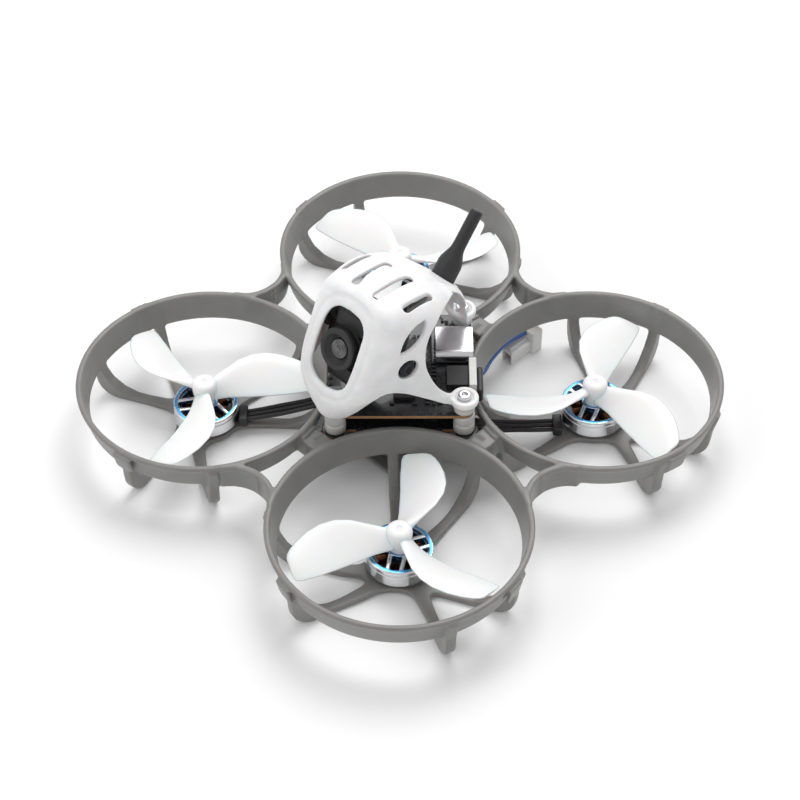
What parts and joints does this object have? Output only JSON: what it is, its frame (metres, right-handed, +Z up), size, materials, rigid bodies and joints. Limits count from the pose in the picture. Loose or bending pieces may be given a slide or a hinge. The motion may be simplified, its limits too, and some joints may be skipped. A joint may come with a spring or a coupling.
{
  "type": "fpv racing drone",
  "caption": "Small ducted racing drone with shrouded three-blade propellers, a tilting camera under a canopy, a stacked pair of boards and an open battery tray.",
  "frame": {"origin": "on the resting surface, under the middle of the four motors", "axes": "+Z up, nose towards -Y, +X to the drone's left"},
  "size_m": [0.1094, 0.1102, 0.0457],
  "materials": {
    "frame_plastic": "translucent satin",
    "motor_alloy": "satin",
    "stator_steel": "lacquered black",
    "copper": "enamelled wire",
    "bell_alloy": "blue anodised top, bright side",
    "magnet": "nickel plated",
    "steel": "bright",
    "propeller_plastic": "translucent gloss",
    "black_wire": "silicone",
    "board": "solder mask",
    "chip": "moulded",
    "grommet": "soft",
    "canopy_plastic": "satin",
    "camera_plastic": "satin black",
    "lens": "coated",
    "black_steel": "blackened",
    "antenna_rubber": "satin",
    "blue_wire": "silicone",
    "connector_plastic": "moulded"
  },
  "bodies": {
    "frame": {"duct_ring_front_left": "frame_plastic", "motor_mount_front_left": "frame_plastic", "motor_base_front_left": "motor_alloy", "stator_front_left": "stator_steel", "windings_front_left": "copper", "motor_leads_front_left": "black_wire", "duct_ring_front_right": "frame_plastic", "motor_mount_front_right": "frame_plastic", "motor_base_front_right": "motor_alloy", "stator_front_right": "stator_steel", "windings_front_right": "copper", "motor_leads_front_right": "black_wire", "duct_ring_rear_left": "frame_plastic", "motor_mount_rear_left": "frame_plastic", "motor_base_rear_left": "motor_alloy", "stator_rear_left": "stator_steel", "windings_rear_left": "copper", "motor_leads_rear_left": "black_wire", "duct_ring_rear_right": "frame_plastic", "motor_mount_rear_right": "frame_plastic", "motor_base_rear_right": "motor_alloy", "stator_rear_right": "stator_steel", "windings_rear_right": "copper", "motor_leads_rear_right": "black_wire", "duct_webs": "frame_plastic", "center_deck": "frame_plastic", "motor_screws": "steel", "flight_controller": "board", "video_transmitter": "board", "board_components": "chip", "usb_port": "steel", "lower_grommets": "grommet", "upper_grommets": "grommet", "canopy_screws": "steel", "canopy": "canopy_plastic", "antenna": "antenna_rubber", "battery_lead_blue": "blue_wire", "battery_lead_black": "black_wire", "battery_connector": "connector_plastic"},
    "rotor_front_left": {"bell_front_left": "bell_alloy", "magnets_front_left": "magnet", "shaft_front_left": "steel", "propeller_front_left": "propeller_plastic"},
    "rotor_front_right": {"bell_front_right": "bell_alloy", "magnets_front_right": "magnet", "shaft_front_right": "steel", "propeller_front_right": "propeller_plastic"},
    "rotor_rear_left": {"bell_rear_left": "bell_alloy", "magnets_rear_left": "magnet", "shaft_rear_left": "steel", "propeller_rear_left": "propeller_plastic"},
    "rotor_rear_right": {"bell_rear_right": "bell_alloy", "magnets_rear_right": "magnet", "shaft_rear_right": "steel", "propeller_rear_right": "propeller_plastic"},
    "camera": {"camera_body": "camera_plastic", "camera_lens": "camera_plastic", "lens_glass": "lens", "camera_pivot_screws": "black_steel"}
  },
  "joints": [
    {"name": "rotor_front_left_spin", "type": "hinge", "parent": "frame", "child": "rotor_front_left", "pos_m": [0.02857, -0.02857, 0.0045], "axis": [0, 0, 1], "continuous": true},
    {"name": "rotor_front_right_spin", "type": "hinge", "parent": "frame", "child": "rotor_front_right", "pos_m": [-0.02857, -0.02857, 0.0045], "axis": [0, 0, 1], "continuous": true},
    {"name": "rotor_rear_left_spin", "type": "hinge", "parent": "frame", "child": "rotor_rear_left", "pos_m": [0.02857, 0.02857, 0.0045], "axis": [0, 0, 1], "continuous": true},
    {"name": "rotor_rear_right_spin", "type": "hinge", "parent": "frame", "child": "rotor_rear_right", "pos_m": [-0.02857, 0.02857, 0.0045], "axis": [0, 0, 1], "continuous": true},
    {"name": "camera_tilt", "type": "hinge", "parent": "frame", "child": "camera", "pos_m": [0, -0.0093, 0.0302], "axis": [1, 0, 0], "range_deg": [-15, 20]}
  ]
}
